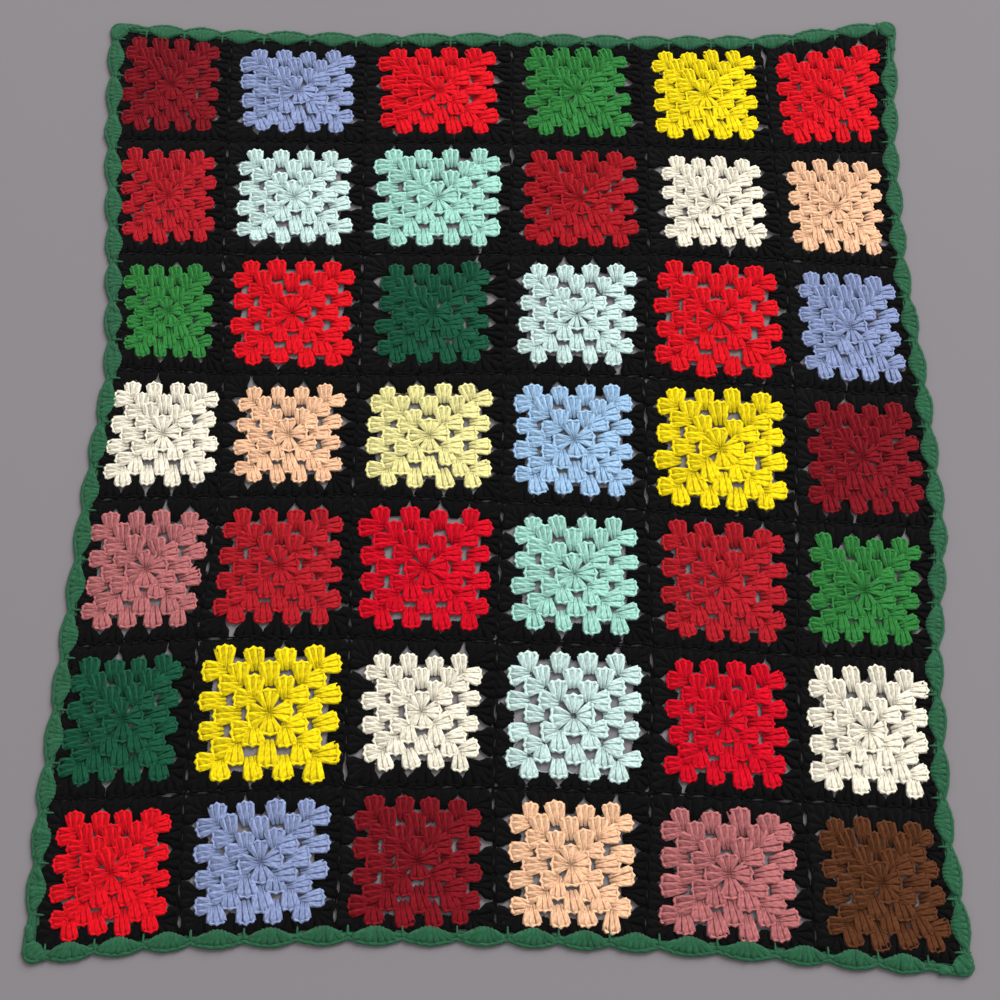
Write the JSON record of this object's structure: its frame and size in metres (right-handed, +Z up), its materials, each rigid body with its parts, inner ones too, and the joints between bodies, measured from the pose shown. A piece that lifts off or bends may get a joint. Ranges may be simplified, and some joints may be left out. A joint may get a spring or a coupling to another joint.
{
  "type": "granny square blanket",
  "caption": "Crocheted blanket of coloured granny squares joined in a black ground, with a scalloped green shell edging, lying flat; for warmth over a lap or a bed",
  "frame": {"origin": "the middle of the blanket's bounding rectangle, on its underside", "axes": "+X to the right edge and +Y to the top edge as the blanket is laid out, +Z up out of its face"},
  "size_m": [0.8801, 1.021, 0.005],
  "materials": {
    "wine": "matt worsted yarn, trebled into clusters",
    "periwinkle": "matt worsted yarn, trebled into clusters",
    "crimson": "matt worsted yarn, trebled into clusters",
    "dark_crimson": "matt worsted yarn, trebled into clusters",
    "red": "matt worsted yarn, trebled into clusters",
    "deep_red": "matt worsted yarn, trebled into clusters",
    "pale_mint": "matt worsted yarn, trebled into clusters",
    "mint": "matt worsted yarn, trebled into clusters",
    "cream": "matt worsted yarn, trebled into clusters",
    "peach": "matt worsted yarn, trebled into clusters",
    "green": "matt worsted yarn, trebled into clusters",
    "dark_green": "matt worsted yarn, trebled into clusters",
    "butter": "matt worsted yarn, trebled into clusters",
    "baby_blue": "matt worsted yarn, trebled into clusters",
    "yellow": "matt worsted yarn, trebled into clusters",
    "mauve": "matt worsted yarn, trebled into clusters",
    "brown": "matt worsted yarn, trebled into clusters",
    "black": "matt worsted yarn, trebled into clusters",
    "edging_green": "matt worsted yarn, trebled into clusters"
  },
  "bodies": {
    "root": {"black_ground": "black", "shell_edging": "edging_green", "square_1_1_wine": "wine", "square_1_2_periwinkle": "periwinkle", "square_1_3_red": "red", "square_1_4_green": "green", "square_1_5_yellow": "yellow", "square_1_6_red": "red", "square_2_1_crimson": "crimson", "square_2_2_pale_mint": "pale_mint", "square_2_3_mint": "mint", "square_2_4_dark_crimson": "dark_crimson", "square_2_5_cream": "cream", "square_2_6_peach": "peach", "square_3_1_green": "green", "square_3_2_red": "red", "square_3_3_dark_green": "dark_green", "square_3_4_pale_mint": "pale_mint", "square_3_5_red": "red", "square_3_6_periwinkle": "periwinkle", "square_4_1_cream": "cream", "square_4_2_peach": "peach", "square_4_3_butter": "butter", "square_4_4_baby_blue": "baby_blue", "square_4_5_yellow": "yellow", "square_4_6_wine": "wine", "square_5_1_mauve": "mauve", "square_5_2_crimson": "crimson", "square_5_3_deep_red": "deep_red", "square_5_4_mint": "mint", "square_5_5_crimson": "crimson", "square_5_6_green": "green", "square_6_1_dark_green": "dark_green", "square_6_2_yellow": "yellow", "square_6_3_cream": "cream", "square_6_4_pale_mint": "pale_mint", "square_6_5_deep_red": "deep_red", "square_6_6_cream": "cream", "square_7_1_red": "red", "square_7_2_periwinkle": "periwinkle", "square_7_3_wine": "wine", "square_7_4_peach": "peach", "square_7_5_mauve": "mauve", "square_7_6_brown": "brown"}
  },
  "joints": []
}
